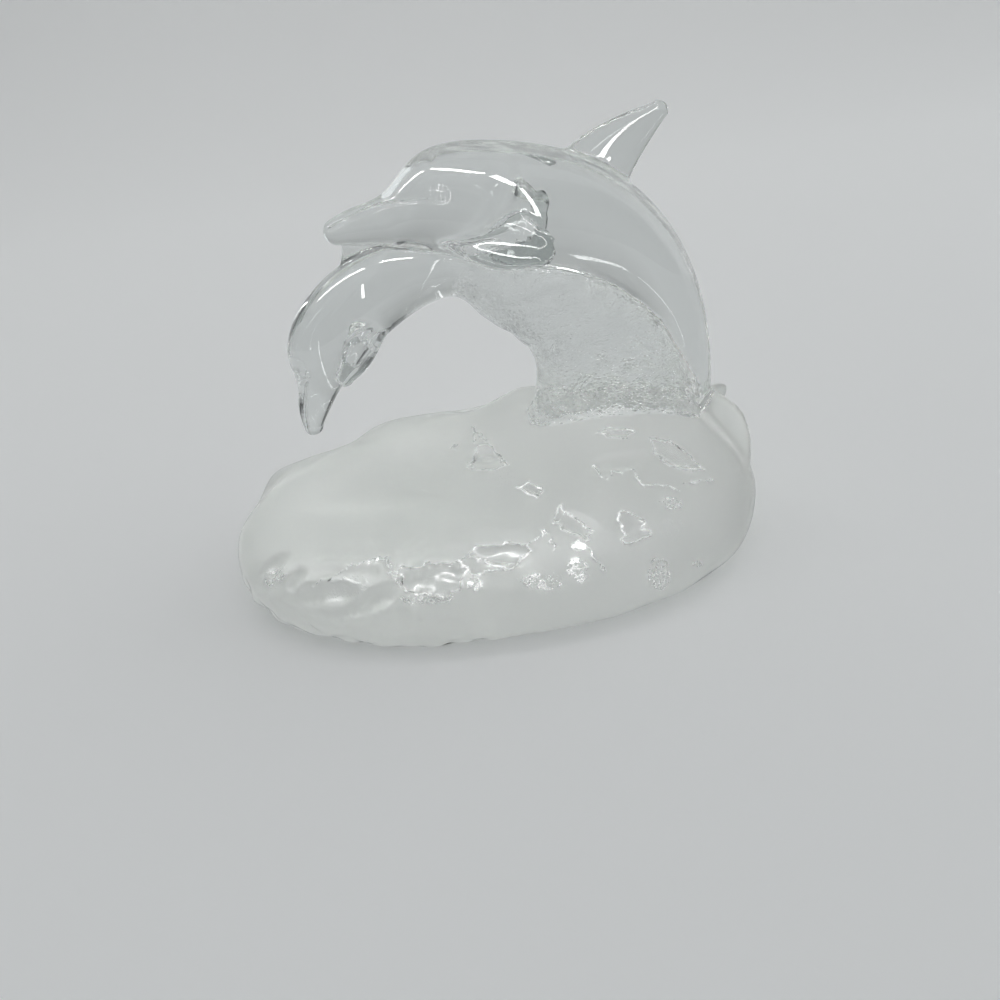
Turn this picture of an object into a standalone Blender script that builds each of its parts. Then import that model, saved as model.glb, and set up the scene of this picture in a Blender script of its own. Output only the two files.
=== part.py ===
"""Cast glass figurine: two dolphins leap over a breaking wave that rises from a pebble of sea.

The whole figurine is one casting, so it is one closed solid.  X runs along the base, with the
heads at the low end, Y away from the viewer and Z up.  The origin is the middle of the flat
underside.
"""
import math
from collections import namedtuple

import bmesh
import bpy
import numpy as np
from mathutils import Vector

# Driving sizes of the sea base, in metres
BASE_LENGTH = 0.190
BASE_DEPTH = 0.134
WAIST_HEIGHT = 0.012
UNDERSIDE_DROP = 0.025
SEA_HEIGHT = 0.033
SWELL_HEIGHT = 0.050
SWELL_LENGTH = 0.052
SWELL_DEPTH = 0.062

# Driving sizes of the figure, in metres: each dolphin bends round its leap's centre
UPPER_LEAP = 0.083
TAIL_FROM_END = 0.017
TAIL_SINK = 0.006
UPPER_SET_BACK = 0.005
LOWER_BEHIND = 0.003
FIN_THICKNESS = 0.0050
FLIPPER_THICKNESS = 0.0060

# Pose and form
LOWER_SHARE = 0.65
SWELL_PLACE_SHARE = 0.70
PLAN_SQUARENESS = 2.25
WALL_FULLNESS = 0.62
TOP_FULLNESS = 0.80
WAVE_FULLNESS = 0.80
TIP_THINNING = 0.35

# Fineness of the finished solid
CELL = 0.0011
POLISH_PASSES = 5
SOLID_TRIANGLES = 8200

# Sizes and places that follow from the ones above
HALF_LENGTH = BASE_LENGTH / 2
HALF_DEPTH = BASE_DEPTH / 2
LOWER_LEAP = LOWER_SHARE * UPPER_LEAP
LOWER_SET_BACK = UPPER_SET_BACK + LOWER_BEHIND
LEAP_X = HALF_LENGTH - TAIL_FROM_END - UPPER_LEAP
SWELL_X = LEAP_X + SWELL_PLACE_SHARE * UPPER_LEAP
UPPER_CENTRE = Vector((LEAP_X, UPPER_SET_BACK, SWELL_HEIGHT - TAIL_SINK))
LOWER_CENTRE = Vector((LEAP_X, LOWER_SET_BACK, SWELL_HEIGHT))

# Low crests on the sea's top as shares of the base's half length and half depth, then rise and
# spread in metres
SEA_CRESTS = (
    (-0.66, 0.14, 0.0050, 0.021),
    (-0.27, 0.42, 0.0040, 0.022),
    (0.15, 0.46, 0.0060, 0.013),
)

# Bodies as degrees round the leap from the tail, then back, belly and half breadth as shares
# of the leap's radius
UPPER_BODY = (
    (-10, 1.040, 0.950, 0.050),
    (0, 1.060, 0.950, 0.052),
    (11, 1.084, 0.930, 0.065),
    (23, 1.128, 0.908, 0.090),
    (34, 1.174, 0.876, 0.120),
    (45, 1.212, 0.830, 0.150),
    (56, 1.230, 0.785, 0.178),
    (67, 1.224, 0.742, 0.195),
    (77, 1.210, 0.727, 0.198),
    (86, 1.198, 0.760, 0.188),
    (92, 1.168, 0.792, 0.168),
    (96, 1.118, 0.815, 0.142),
    (100, 1.066, 0.842, 0.112),
    (105, 1.050, 0.880, 0.088),
    (110, 1.055, 0.920, 0.070),
    (113.3, 1.056, 0.950, 0.058),
)
LOWER_BODY = (
    (48, 1.060, 0.780, 0.170),
    (62, 1.100, 0.790, 0.190),
    (78, 1.150, 0.805, 0.200),
    (90, 1.180, 0.800, 0.212),
    (104, 1.222, 0.772, 0.226),
    (117, 1.250, 0.746, 0.240),
    (128, 1.262, 0.740, 0.246),
    (138, 1.264, 0.740, 0.240),
    (147, 1.250, 0.768, 0.216),
    (153, 1.215, 0.798, 0.186),
    (158, 1.155, 0.822, 0.152),
    (162, 1.118, 0.845, 0.126),
    (168, 1.108, 0.880, 0.104),
    (174, 1.098, 0.925, 0.084),
    (178, 1.085, 0.958, 0.062),
)

# Fins: where the root and the tip lie as degrees, reach and distance aside, in shares of the
# leap; which way the leading edge faces; how far the blade bows that way; and its half chords
Fin = namedtuple("Fin", "root tip leads bow half_chords")
UPPER_DORSAL = Fin(
    root=(58.5, 1.13, 0),
    tip=(53.6, 1.50, 0),
    leads=(-1, 0, 0.4),
    bow=0.02,
    half_chords=((0, 0.160), (0.35, 0.124), (0.7, 0.080), (1, 0.038)),
)
LOWER_DORSAL = Fin(
    root=(113, 1.12, 0),
    tip=(110.5, 1.40, 0),
    leads=(-1, 0, -0.6),
    bow=0,
    half_chords=((0, 0.20), (0.5, 0.16), (1, 0.08)),
)
UPPER_FLIPPER = Fin(
    root=(86, 0.90, 0.120),
    tip=(66, 0.90, 0.255),
    leads=(0.1, 0.5, -1),
    bow=0,
    half_chords=((0, 0.085), (0.4, 0.110), (0.8, 0.100), (1, 0.070)),
)
LOWER_FLIPPER = Fin(
    root=(126, 0.84, 0.150),
    tip=(146, 0.85, 0.290),
    leads=(-0.6, 0.5, 0.6),
    bow=0,
    half_chords=((0, 0.080), (0.4, 0.105), (0.8, 0.095), (1, 0.070)),
)
FLUKE = Fin(
    root=(-1, 1.0, 0),
    tip=(-12, 1.15, 0.30),
    leads=(0.6, 0, 0.5),
    bow=0.03,
    half_chords=((0, 0.075), (0.4, 0.105), (0.8, 0.070), (1, 0.030)),
)

# Wave column as height above the swell, near end, far end and half breadth along X, as shares
# of the upper leap
WAVE_COLUMN = (
    (-0.20, 0.250, 1.010, 0.190),
    (-0.02, 0.300, 1.000, 0.170),
    (0.08, 0.318, 0.975, 0.155),
    (0.22, 0.315, 0.925, 0.148),
    (0.34, 0.215, 0.860, 0.150),
    (0.42, 0.125, 0.800, 0.150),
    (0.49, 0.070, 0.730, 0.150),
    (0.56, 0.000, 0.620, 0.145),
    (0.63, -0.060, 0.480, 0.120),
)


def smooth_through(keys, places):
    """Read a natural cubic spline through the keyed rows at each place."""
    rows = np.array(keys, float)
    at = rows[:, 0]
    value = rows[:, 1:]
    gap = np.diff(at)
    count = len(at)
    system = np.eye(count)
    pull = np.zeros_like(value)
    for i in range(1, count - 1):
        system[i, i - 1] = gap[i - 1]
        system[i, i] = 2 * (gap[i - 1] + gap[i])
        system[i, i + 1] = gap[i]
        pull[i] = 6 * ((value[i + 1] - value[i]) / gap[i] - (value[i] - value[i - 1]) / gap[i - 1])
    bend = np.linalg.solve(system, pull)
    places = np.asarray(places, float)
    span = np.clip(np.searchsorted(at, places) - 1, 0, count - 2)
    width = gap[span][:, None]
    after = (places - at[span])[:, None]
    before = width - after
    return (
        (bend[span] * before**3 + bend[span + 1] * after**3) / (6 * width)
        + (value[span] / width - bend[span] * width / 6) * before
        + (value[span + 1] / width - bend[span + 1] * width / 6) * after
    )


def add_mesh(name, bm, collection):
    """Turn a bmesh into a linked object with its faces pointing out."""
    bmesh.ops.recalc_face_normals(bm, faces=bm.faces)
    mesh = bpy.data.meshes.new(name)
    bm.to_mesh(mesh)
    bm.free()
    obj = bpy.data.objects.new(name, mesh)
    collection.objects.link(obj)
    return obj


def loft(name, rings, collection):
    """Skin a row of rings and close both ends."""
    bm = bmesh.new()
    loops = [[bm.verts.new(point) for point in ring] for ring in rings]
    for here, there in zip(loops, loops[1:]):
        for i in range(len(here)):
            j = (i + 1) % len(here)
            bm.faces.new((here[i], here[j], there[j], there[i]))
    bm.faces.new(loops[0])
    bm.faces.new(loops[-1])
    return add_mesh(name, bm, collection)


def with_domed_end(rings, reach):
    """Carry the rings on past the last one into a dome of the given reach."""
    last = rings[-1]
    middle = last.mean(axis=0)
    ahead = middle - rings[-2].mean(axis=0)
    ahead = ahead / np.linalg.norm(ahead)
    dome = [
        middle + (last - middle) * math.cos(turn) + ahead * reach * math.sin(turn)
        for turn in np.radians((25, 48, 68, 84))
    ]
    return np.concatenate([rings, dome])


def body_rings(centre, leap, keys, steps=72, sides=36):
    """Rings of a dolphin's body, each on a plane through the leap's axis."""
    angles = np.linspace(keys[0][0], keys[-1][0], steps)
    shape = smooth_through(keys, angles) * leap
    turns = np.linspace(0, 2 * math.pi, sides, endpoint=False)
    rings = []
    for angle, (back, belly, breadth) in zip(np.radians(angles), shape):
        reach = (back + belly) / 2 + (back - belly) / 2 * np.cos(turns)
        rings.append(np.stack([
            centre.x + reach * math.cos(angle),
            centre.y + breadth * np.sin(turns),
            centre.z + reach * math.sin(angle),
        ], axis=1))
    return np.array(rings)


def on_leap(centre, leap, place, side):
    """Point at an angle and a reach round a leap, moved aside along Y."""
    angle, reach, aside = place
    turn = math.radians(angle)
    return centre + leap * Vector((reach * math.cos(turn), side * aside, reach * math.sin(turn)))


def fin_rings(fin, centre, leap, side, thickness, steps=14, sides=28):
    """Rings of a fin from its root inside the body to its domed tip."""
    root = on_leap(centre, leap, fin.root, side)
    span = on_leap(centre, leap, fin.tip, side) - root
    leads = Vector((fin.leads[0], side * fin.leads[1], fin.leads[2]))
    chord = (leads - leads.project(span)).normalized()
    through = span.cross(chord).normalized()
    shares = np.linspace(0, 1, steps)
    half_chords = smooth_through(fin.half_chords, shares)[:, 0] * leap
    turns = np.linspace(0, 2 * math.pi, sides, endpoint=False)
    rings = []
    for share, half_chord in zip(shares, half_chords):
        bow = fin.bow * leap * math.sin(math.pi * share)
        half_thickness = thickness / 2 * (1 - TIP_THINNING * share)
        rings.append(
            np.array(root + span * share + chord * bow)
            + np.outer(np.cos(turns) * half_chord, np.array(chord))
            + np.outer(np.sin(turns) * half_thickness, np.array(through))
        )
    return with_domed_end(np.array(rings), half_chords[-1])


def bump(distance):
    """Smooth hill that is one at no distance and falls away evenly."""
    return math.exp(-distance * distance)


def sea_top(x, y):
    """Height of the base's top before its shoulders round it off."""
    from_swell = math.hypot((x - SWELL_X) / SWELL_LENGTH, (y - LOWER_SET_BACK) / SWELL_DEPTH)
    height = SEA_HEIGHT + (SWELL_HEIGHT - SEA_HEIGHT) * bump(from_swell)
    for along, aside, rise, spread in SEA_CRESTS:
        away = math.hypot(x - along * HALF_LENGTH, y - aside * HALF_DEPTH)
        height += rise * bump(away / spread)
    return height


def squared(value, fullness):
    """Cosine or sine bent so that a round outline fills out towards a square."""
    return np.sign(value) * np.abs(value)**fullness


def add_sea_base(collection):
    """Pebble of sea: steep rounded sides, a top that swells up to the wave."""
    bm = bmesh.new()
    bmesh.ops.create_uvsphere(bm, u_segments=80, v_segments=48, radius=1)
    for vert in bm.verts:
        across, aside, up = vert.co
        out = math.hypot(across, aside)
        turn = math.atan2(aside, across)
        corner = abs(math.cos(turn))**PLAN_SQUARENESS + abs(math.sin(turn))**PLAN_SQUARENESS
        plan = out**WALL_FULLNESS * corner**(-1 / PLAN_SQUARENESS)
        x = HALF_LENGTH * plan * math.cos(turn)
        y = HALF_DEPTH * plan * math.sin(turn)
        reach = sea_top(x, y) - WAIST_HEIGHT if up > 0 else UNDERSIDE_DROP
        vert.co = (x, y, WAIST_HEIGHT + reach * squared(up, TOP_FULLNESS))
    return add_mesh("sea base", bm, collection)


def add_wave_column(collection):
    """Breaking wave that rises from the swell and carries both dolphins."""
    heights = np.linspace(WAVE_COLUMN[0][0], WAVE_COLUMN[-1][0], 30)
    shape = smooth_through(WAVE_COLUMN, heights) * UPPER_LEAP
    turns = np.linspace(0, 2 * math.pi, 48, endpoint=False)
    across = squared(np.cos(turns), WAVE_FULLNESS)
    aside = squared(np.sin(turns), WAVE_FULLNESS)
    rings = [
        np.stack([
            LEAP_X + (near_end + far_end) / 2 + (far_end - near_end) / 2 * across,
            LOWER_SET_BACK + breadth * aside,
            np.full_like(turns, SWELL_HEIGHT + height * UPPER_LEAP),
        ], axis=1)
        for height, (near_end, far_end, breadth) in zip(heights, shape)
    ]
    return loft("wave column", np.array(rings), collection)


def add_bodies(collection):
    """The two dolphins' bodies, from tail stock to beak."""
    made = []
    for name, centre, leap, keys in (
        ("upper body", UPPER_CENTRE, UPPER_LEAP, UPPER_BODY),
        ("lower body", LOWER_CENTRE, LOWER_LEAP, LOWER_BODY),
    ):
        rings = body_rings(centre, leap, keys)
        beak = (keys[-1][1] - keys[-1][2]) / 2 * leap
        made.append(loft(name, with_domed_end(rings, beak), collection))
    return made


def add_fins(collection):
    """Dorsal fins on the backs, and flippers and flukes on both sides."""
    upper = (UPPER_CENTRE, UPPER_LEAP)
    lower = (LOWER_CENTRE, LOWER_LEAP)
    shapes = {
        "upper dorsal fin": fin_rings(UPPER_DORSAL, *upper, 1, FIN_THICKNESS),
        "lower dorsal fin": fin_rings(LOWER_DORSAL, *lower, 1, FIN_THICKNESS),
    }
    for side, word in ((-1, "near"), (1, "far")):
        shapes[word + " upper flipper"] = fin_rings(UPPER_FLIPPER, *upper, side, FLIPPER_THICKNESS)
        shapes[word + " lower flipper"] = fin_rings(LOWER_FLIPPER, *lower, side, FLIPPER_THICKNESS)
        shapes[word + " fluke"] = fin_rings(FLUKE, *upper, side, FIN_THICKNESS)
    return [loft(name, rings, collection) for name, rings in shapes.items()]


def glass_material():
    """Clear crystal glass."""
    material = bpy.data.materials.new("clear glass")
    material.use_nodes = True
    shader = material.node_tree.nodes["Principled BSDF"]
    shader.inputs["Base Color"].default_value = (0.92, 0.94, 0.94, 1)
    shader.inputs["Roughness"].default_value = 0.05
    shader.inputs["Metallic"].default_value = 0.0
    shader.inputs["Transmission Weight"].default_value = 1.0
    shader.inputs["IOR"].default_value = 1.5
    return material


def add_table(collection):
    """Block under the figurine, which grinds its underside flat at height zero."""
    bm = bmesh.new()
    bmesh.ops.create_cube(bm, size=1)
    bmesh.ops.scale(bm, verts=bm.verts, vec=(2 * BASE_LENGTH, 2 * BASE_DEPTH, 2 * UNDERSIDE_DROP))
    bmesh.ops.translate(bm, verts=bm.verts, vec=(0, 0, -UNDERSIDE_DROP))
    return add_mesh("grinding plane", bm, collection)


def hide_helper(obj):
    """Keep a form or cutter out of the finished model."""
    obj.hide_render = True
    obj.display_type = "WIRE"


def fuse(name, parts, collection, table):
    """Join the forms into one skin, as the melt fills one mould, and thin it out."""
    bm = bmesh.new()
    for part in parts:
        bm.from_mesh(part.data)
    joined = add_mesh(name, bm, collection)
    skin = joined.modifiers.new("one skin", "REMESH")
    skin.mode = "VOXEL"
    skin.voxel_size = CELL
    polish = joined.modifiers.new("fire polish", "SMOOTH")
    polish.factor = 0.5
    polish.iterations = POLISH_PASSES
    graph = bpy.context.evaluated_depsgraph_get()
    dense = sum(len(face.vertices) - 2 for face in joined.evaluated_get(graph).data.polygons)
    thin = joined.modifiers.new("fewer faces", "DECIMATE")
    thin.ratio = SOLID_TRIANGLES / dense
    ground = joined.modifiers.new("ground underside", "BOOLEAN")
    ground.operation = "DIFFERENCE"
    ground.object = table
    return joined


def clear_scene():
    for obj in list(bpy.data.objects):
        bpy.data.objects.remove(obj, do_unlink=True)


def main():
    clear_scene()
    figurine = bpy.data.collections.new("dolphin figurine")
    forms = bpy.data.collections.new("forms")
    bpy.context.scene.collection.children.link(figurine)
    bpy.context.scene.collection.children.link(forms)
    parts = [add_sea_base(forms), add_wave_column(forms)] + add_bodies(forms) + add_fins(forms)
    table = add_table(forms)
    for helper in parts + [table]:
        hide_helper(helper)
    casting = fuse("glass_dolphins", parts, figurine, table)
    casting.data.materials.append(glass_material())


main()
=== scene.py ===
# %% [markdown]
# A cast glass figurine: two dolphins leap over a breaking wave that rises from a pebble of sea.
# The real piece is one casting. Molten glass fills one mould, the dolphins are polished by the
# flame until they are clear, the wave keeps the mould's icy ripples, and the sea is etched dull,
# with windows left bright where the crests were wiped. This file builds that surface and that
# finish on the measured model, step by step, for a reader who is learning Blender.

# %% Load the measured model
import math
from collections import namedtuple

import bmesh
import bpy
import numpy as np
from mathutils import Matrix, Vector


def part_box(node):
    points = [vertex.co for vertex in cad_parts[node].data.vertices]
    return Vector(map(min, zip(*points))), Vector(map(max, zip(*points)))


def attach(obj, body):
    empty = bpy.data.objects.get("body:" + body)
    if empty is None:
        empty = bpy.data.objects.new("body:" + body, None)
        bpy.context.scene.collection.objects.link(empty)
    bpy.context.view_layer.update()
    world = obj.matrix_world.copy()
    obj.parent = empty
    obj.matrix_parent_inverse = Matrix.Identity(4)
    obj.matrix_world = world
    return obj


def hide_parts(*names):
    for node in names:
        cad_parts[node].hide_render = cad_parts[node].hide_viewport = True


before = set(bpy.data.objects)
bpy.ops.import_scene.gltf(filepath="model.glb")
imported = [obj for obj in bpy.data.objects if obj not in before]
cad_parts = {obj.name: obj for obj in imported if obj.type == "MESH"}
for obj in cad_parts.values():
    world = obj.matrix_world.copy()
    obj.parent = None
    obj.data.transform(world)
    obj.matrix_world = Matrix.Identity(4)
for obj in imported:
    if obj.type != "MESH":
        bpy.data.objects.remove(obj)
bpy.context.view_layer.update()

CAST_NODE = "glass_dolphins"
CAST_LOW, CAST_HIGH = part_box(CAST_NODE)
print("casting spans", [round(1000 * (b - a), 1) for a, b in zip(CAST_LOW, CAST_HIGH)], "mm")

# %% [markdown]
# The camera comes first, because every later choice is judged through it. It looks down at the
# figurine from the front, a hand's width above it, and it was held a little crooked. A camera
# can be placed by angles: pitch it down from level, then turn it about its own line of sight.

# %% Place the camera
CAMERA_PLACE = (0.0025, -0.3448, 0.2104)
CAMERA_PITCH = 29.5
CAMERA_TILT = 8.0
CAMERA_LENS = 38.52
CAMERA_SENSOR = 36.0
CLIP_START = 0.01


def camera_stand():
    """Matrix that stands the camera in its place and turns it to the figurine."""
    down = Matrix.Rotation(math.radians(90 - CAMERA_PITCH), 4, "X")
    crooked = Matrix.Rotation(math.radians(-CAMERA_TILT), 4, "Z")
    return Matrix.Translation(CAMERA_PLACE) @ down @ crooked


def add_camera():
    camera = bpy.data.objects.new("camera", bpy.data.cameras.new("camera"))
    bpy.context.scene.collection.objects.link(camera)
    camera.data.lens = CAMERA_LENS
    camera.data.sensor_width = CAMERA_SENSOR
    camera.data.clip_start = CLIP_START
    camera.matrix_world = camera_stand()
    bpy.context.scene.camera = camera


add_camera()

# %% [markdown]
# Glass shows every flaw in a surface, so the forms are not sculpted by hand. Each one is a rule
# that says how far a point is from its skin: nought on the skin, less inside, more outside. The
# skins can then be melted into each other with a fillet of any size, as hot glass does, and the
# true normal is known at every point. The rules share their sizes with the measured solid.

# %% Name the sizes of the casting
HALF_LENGTH = (CAST_HIGH.x - CAST_LOW.x) / 2
HALF_DEPTH = (CAST_HIGH.y - CAST_LOW.y) / 2
WAIST_HEIGHT = 0.012
UNDERSIDE_DROP = 0.025
SEA_HEIGHT = 0.033
SWELL_HEIGHT = 0.050
SWELL_LENGTH = 0.052
SWELL_DEPTH = 0.062
UPPER_LEAP = 0.083
LOWER_SHARE = 0.65
LOWER_LEAP = LOWER_SHARE * UPPER_LEAP
TAIL_FROM_END = 0.017
TAIL_SINK = 0.006
UPPER_SET_BACK = 0.005
LOWER_SET_BACK = 0.008
FIN_THICKNESS = 0.0050
FLIPPER_THICKNESS = 0.0060
LEAP_X = HALF_LENGTH - TAIL_FROM_END - UPPER_LEAP
SWELL_PLACE_SHARE = 0.70
SWELL_X = LEAP_X + SWELL_PLACE_SHARE * UPPER_LEAP
UPPER_CENTRE = np.array((LEAP_X, UPPER_SET_BACK, SWELL_HEIGHT - TAIL_SINK))
LOWER_CENTRE = np.array((LEAP_X, LOWER_SET_BACK, SWELL_HEIGHT))

# Degrees round the leap from the tail, then back, belly and half breadth as shares of it
UPPER_BODY = (
    (-10, 1.040, 0.950, 0.050),
    (0, 1.060, 0.950, 0.052),
    (11, 1.084, 0.930, 0.065),
    (23, 1.128, 0.908, 0.090),
    (34, 1.174, 0.876, 0.120),
    (45, 1.212, 0.830, 0.150),
    (56, 1.230, 0.785, 0.178),
    (67, 1.224, 0.742, 0.195),
    (77, 1.210, 0.727, 0.198),
    (86, 1.198, 0.760, 0.188),
    (92, 1.168, 0.792, 0.168),
    (96, 1.118, 0.815, 0.142),
    (100, 1.066, 0.842, 0.112),
    (105, 1.050, 0.880, 0.088),
    (110, 1.055, 0.920, 0.070),
    (113.3, 1.056, 0.950, 0.058),
)
LOWER_BODY = (
    (48, 1.060, 0.780, 0.170),
    (62, 1.100, 0.790, 0.190),
    (78, 1.150, 0.805, 0.200),
    (90, 1.180, 0.800, 0.212),
    (104, 1.222, 0.772, 0.226),
    (117, 1.250, 0.746, 0.240),
    (128, 1.262, 0.740, 0.246),
    (138, 1.264, 0.740, 0.240),
    (147, 1.250, 0.768, 0.216),
    (153, 1.215, 0.798, 0.186),
    (158, 1.155, 0.822, 0.152),
    (162, 1.118, 0.845, 0.126),
    (168, 1.108, 0.880, 0.104),
    (174, 1.098, 0.925, 0.084),
    (178, 1.085, 0.958, 0.062),
)

# Height over the swell, near end, far end and half breadth as shares of the upper leap
WAVE_COLUMN = (
    (-0.20, 0.250, 1.010, 0.190),
    (-0.02, 0.300, 1.000, 0.170),
    (0.08, 0.318, 0.975, 0.155),
    (0.22, 0.315, 0.925, 0.148),
    (0.34, 0.215, 0.860, 0.150),
    (0.42, 0.125, 0.800, 0.150),
    (0.49, 0.070, 0.730, 0.150),
    (0.56, 0.000, 0.620, 0.145),
    (0.63, -0.060, 0.480, 0.120),
)

# Place along and aside as shares of the base's half sizes, then rise and spread in metres
SEA_CRESTS = (
    (-0.66, 0.14, 0.0050, 0.021),
    (-0.27, 0.42, 0.0040, 0.022),
    (0.15, 0.46, 0.0060, 0.013),
)

# %% [markdown]
# A long body needs only a handful of keys if a curve runs smoothly through them. A natural cubic
# spline does that with no kink in its slope or its bend, and a kink in the bend is what the eye
# reads as a ripple in a highlight.

# %% Run smooth curves through keys
Curve = namedtuple("Curve", "at value bend")


def curve_through(keys, scale=1.0):
    """Natural cubic spline through the keyed rows."""
    rows = np.array(keys, float)
    at = rows[:, 0]
    value = rows[:, 1:] * scale
    gap = np.diff(at)
    system = np.eye(len(at))
    pull = np.zeros_like(value)
    for i in range(1, len(at) - 1):
        system[i, i - 1] = gap[i - 1]
        system[i, i] = 2 * (gap[i - 1] + gap[i])
        system[i, i + 1] = gap[i]
        pull[i] = 6 * ((value[i + 1] - value[i]) / gap[i] - (value[i] - value[i - 1]) / gap[i - 1])
    return Curve(at, value, np.linalg.solve(system, pull))


def read_curve(curve, places):
    """Each column of the curve at the places."""
    span = np.clip(np.searchsorted(curve.at, places) - 1, 0, len(curve.at) - 2)
    width = curve.at[span + 1] - curve.at[span]
    after = places - curve.at[span]
    before = width - after
    columns = []
    for value, bend in zip(curve.value.T, curve.bend.T):
        columns.append(
            (bend[span] * before**3 + bend[span + 1] * after**3) / (6 * width)
            + (value[span] / width - bend[span] * width / 6) * before
            + (value[span + 1] / width - bend[span + 1] * width / 6) * after
        )
    return columns


# %% [markdown]
# A rounded section, whether a dolphin's oval or a wave's fuller one, is a superellipse. Dividing
# its level by its slope turns it into a distance in metres that holds near the skin.

# %% Measure the distance to a rounded section
TINY = 1e-7


def shell_distance(offsets, radii, power):
    """Signed distance from offsets to a superellipse shell of the given radii."""
    scaled = [np.abs(offset) / radius + TINY for offset, radius in zip(offsets, radii)]
    level = sum(part**power for part in scaled)**(1 / power)
    steep = sum((part**(power - 1) / radius)**2 for part, radius in zip(scaled, radii))
    return (level - 1) * level**(power - 1) / np.sqrt(steep)


def leap_place(points, centre):
    """Degrees round a leap from the tail, reach from its centre and distance aside."""
    away = points - centre
    angle = np.degrees(np.arctan2(away[:, 2], away[:, 0]))
    return np.where(angle < -90, angle + 360, angle), np.hypot(away[:, 0], away[:, 2]), away[:, 1]


# %% [markdown]
# Both bodies bend round a point in the air under them, so a body's rule is written round that
# point: how far round, how far out and how far aside. Past the last key the section closes into
# a dome, which is the tip of the beak.

# %% Write the rule of a body
Body = namedtuple("Body", "centre leap curve")
UPPER = Body(UPPER_CENTRE, UPPER_LEAP, curve_through(UPPER_BODY))
LOWER = Body(LOWER_CENTRE, LOWER_LEAP, curve_through(LOWER_BODY))


def body_distance(points, body):
    angle, reach, aside = leap_place(points, body.centre)
    held = np.clip(angle, body.curve.at[0], body.curve.at[-1])
    back, belly, breadth = (column * body.leap for column in read_curve(body.curve, held))
    half = (back - belly) / 2
    middle = (back + belly) / 2
    past = np.radians(angle - held) * middle
    return shell_distance((reach - middle, aside, past), (half, breadth, half), 2.0)


# %% [markdown]
# A fin is a flat leaf: a root inside the body, a tip, a direction that its leading edge faces and
# half chords along the span. The blade is pressed a little thinner in its middle, so that a
# thick rim catches the light as the cast one does.

# %% Write the rule of a fin
Fin = namedtuple("Fin", "root tip leads bow half_chords thickness dish")
UPPER_DORSAL = Fin(
    root=(58.5, 1.13, 0),
    tip=(53.6, 1.50, 0),
    leads=(-1, 0, 0.4),
    bow=0.02,
    half_chords=((0, 0.160), (0.35, 0.124), (0.7, 0.080), (1, 0.038)),
    thickness=FIN_THICKNESS,
    dish=0.12,
)
LOWER_DORSAL = Fin(
    root=(113, 1.12, 0),
    tip=(110.5, 1.40, 0),
    leads=(-1, 0, -0.6),
    bow=0,
    half_chords=((0, 0.20), (0.5, 0.16), (1, 0.08)),
    thickness=FIN_THICKNESS,
    dish=0,
)
UPPER_FLIPPER = Fin(
    root=(86, 0.90, 0.120),
    tip=(66, 0.90, 0.255),
    leads=(0.1, 0.5, -1),
    bow=0,
    half_chords=((0, 0.085), (0.4, 0.110), (0.8, 0.100), (1, 0.070)),
    thickness=FLIPPER_THICKNESS,
    dish=0.35,
)
LOWER_FLIPPER = Fin(
    root=(126, 0.84, 0.150),
    tip=(146, 0.85, 0.290),
    leads=(-0.6, 0.5, 0.6),
    bow=0,
    half_chords=((0, 0.080), (0.4, 0.105), (0.8, 0.095), (1, 0.070)),
    thickness=FLIPPER_THICKNESS,
    dish=0.35,
)
FLUKE = Fin(
    root=(-1, 1.0, 0),
    tip=(-12, 1.15, 0.30),
    leads=(0.6, 0, 0.5),
    bow=0.03,
    half_chords=((0, 0.075), (0.4, 0.105), (0.8, 0.070), (1, 0.030)),
    thickness=FIN_THICKNESS,
    dish=0.20,
)
TIP_THINNING = 0.35
FIN_POWER = 2.4


def on_leap(body, place, side):
    """Point at an angle and a reach round a leap, moved aside along Y."""
    angle, reach, aside = place
    turn = math.radians(angle)
    way = np.array((reach * math.cos(turn), side * aside, reach * math.sin(turn)))
    return body.centre + body.leap * way


def unit(vector):
    return vector / np.linalg.norm(vector)


def fin_distance(points, fin, body, side):
    root = on_leap(body, fin.root, side)
    span = on_leap(body, fin.tip, side) - root
    length = np.linalg.norm(span)
    leads = np.array((fin.leads[0], side * fin.leads[1], fin.leads[2]))
    chord = unit(leads - span * leads.dot(span) / length**2)
    through = unit(np.cross(span, chord))
    away = points - root
    share = away @ span / length**2
    held = np.clip(share, 0, 1)
    curve = curve_through(fin.half_chords, body.leap)
    half_chord = read_curve(curve, held)[0]
    across = away @ chord - fin.bow * body.leap * np.sin(math.pi * held)
    flat = np.clip(1 - (across / half_chord)**2, 0, 1)**2
    half_thickness = fin.thickness / 2 * (1 - TIP_THINNING * held) * (1 - fin.dish * flat)
    past = (share - held) * length
    tip = curve.value[-1, 0]
    radii = (half_chord, half_thickness, np.full_like(held, tip))
    return shell_distance((across, away @ through, past), radii, FIN_POWER)


# %% [markdown]
# The wave is a stack of fuller, squarer sections, and the sea is a pebble: a squared oval in
# plan, with steep walls, a waist near the table and a top that swells up to the foot of the wave.

# %% Write the rules of the wave and the sea
WAVE_POWER = 2.5
PLAN_SQUARENESS = 2.25
WALL_FULLNESS = 0.62
TOP_FULLNESS = 0.80
WALL_POWER = 2 / WALL_FULLNESS
TOP_POWER = 2 / TOP_FULLNESS
WAVE_CURVE = curve_through(WAVE_COLUMN)


def wave_distance(points):
    height = (points[:, 2] - SWELL_HEIGHT) / UPPER_LEAP
    held = np.clip(height, WAVE_CURVE.at[0], WAVE_CURVE.at[-1])
    near_end, far_end, breadth = (column * UPPER_LEAP for column in read_curve(WAVE_CURVE, held))
    along = points[:, 0] - LEAP_X - (near_end + far_end) / 2
    aside = points[:, 1] - LOWER_SET_BACK
    past = (height - held) * UPPER_LEAP
    radii = ((far_end - near_end) / 2, breadth, breadth)
    return shell_distance((along, aside, past), radii, WAVE_POWER)


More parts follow.
